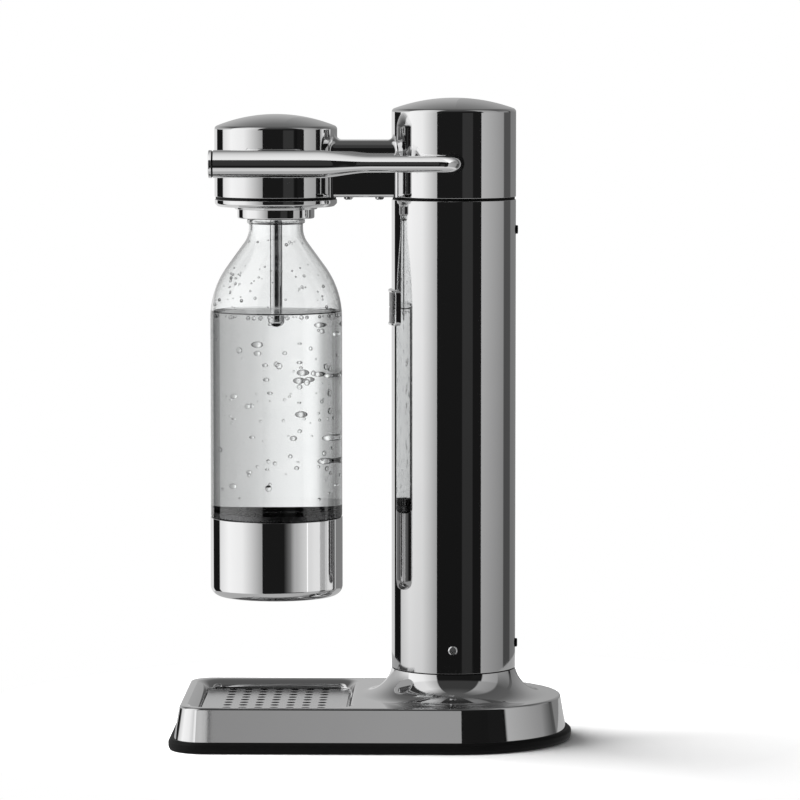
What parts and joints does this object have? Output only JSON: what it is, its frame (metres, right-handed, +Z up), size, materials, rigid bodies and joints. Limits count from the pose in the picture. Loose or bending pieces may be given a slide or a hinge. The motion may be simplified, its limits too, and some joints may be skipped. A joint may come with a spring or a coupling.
{
  "type": "sparkling water maker",
  "caption": "Polished stand with a gas cylinder in its column, a side lever that presses the gas valve, a clear bottle under the head and a drip grid in the base.",
  "frame": {"origin": "on the floor, under the middle of the base's rubber rim", "axes": "+X to the rear, where the column stands; -X to the front, under the bottle; -Y to the lever's side; +Z up"},
  "size_m": [0.258, 0.153, 0.414],
  "materials": {
    "polished_steel": "mirror polished",
    "satin_steel": "satin",
    "black_rubber": "matt",
    "black_plastic": "fine grain",
    "pale_plastic": "smooth",
    "valve_brass": "turned",
    "cylinder_paint": "semi-gloss",
    "clear_plastic": "clear, glossy",
    "badge_steel": "satin"
  },
  "bodies": {
    "machine": {"base_shell": "polished_steel", "rubber_rim": "black_rubber", "base_plate": "black_plastic", "base_screws": "satin_steel", "column_sleeve": "satin_steel", "lower_gasket": "black_rubber", "column_tube": "polished_steel", "column_screws": "satin_steel", "rear_bumpers": "black_rubber", "badge_plate": "badge_steel", "upper_gasket": "black_rubber", "upper_housing": "polished_steel", "arm_cover": "polished_steel", "arm_screws": "satin_steel", "head_gasket": "black_rubber", "head_cover": "polished_steel", "bottle_collar": "polished_steel", "bottle_seal": "black_rubber", "nozzle_block": "black_plastic", "nozzle_tube": "polished_steel", "nozzle_tip": "black_plastic", "head_plate": "satin_steel", "head_screws": "satin_steel", "relief_valve": "valve_brass", "gas_tube": "pale_plastic", "tube_nuts": "valve_brass", "valve_carrier": "satin_steel", "shaft_bracket": "satin_steel", "bracket_screws": "satin_steel", "valve_body": "valve_brass", "valve_seal": "black_rubber", "lever_bush": "black_plastic", "plunger_spring": "satin_steel"},
    "grid": {"drip_grid": "satin_steel"},
    "lever": {"lever": "polished_steel", "lever_end_cap": "polished_steel", "lever_cam": "satin_steel", "cam_pin": "satin_steel", "shaft_clip": "satin_steel"},
    "plunger": {"valve_plunger": "satin_steel"},
    "cylinder": {"gas_cylinder": "cylinder_paint", "cylinder_valve": "valve_brass"},
    "pin": {"cylinder_pin": "satin_steel"},
    "bottle": {"bottle": "clear_plastic", "bottle_cup": "polished_steel"}
  },
  "joints": [
    {"name": "lever_pull", "type": "hinge", "parent": "machine", "child": "lever", "pos_m": [0.0525, 0, 0.3729], "axis": [0, -1, 0], "range_deg": [0, 28], "stiffness_Nm_per_rad": 2, "springref_deg": -17.19},
    {"name": "plunger_press", "type": "slide", "parent": "machine", "child": "plunger", "axis": [0, 0, -1], "range_m": [0, 0.0016], "deforming": ["plunger_spring"]},
    {"name": "cylinder_draw", "type": "slide", "parent": "machine", "child": "cylinder", "axis": [0, 0, -1], "range_m": [0, 0.35]},
    {"name": "pin_press", "type": "slide", "parent": "cylinder", "child": "pin", "axis": [0, 0, -1], "range_m": [0, 0.0016]},
    {"name": "bottle_lower", "type": "slide", "parent": "machine", "child": "bottle", "axis": [0, 0, -1], "range_m": [0, 0.055]},
    {"name": "grid_lift", "type": "slide", "parent": "machine", "child": "grid", "axis": [0, 0, 1], "range_m": [0, 0.01]}
  ],
  "couplings": [
    {"joint": "plunger_press", "follows": "lever_pull", "m_per_rad": 0.003274},
    {"joint": "pin_press", "follows": "lever_pull", "m_per_rad": 0.003274}
  ]
}
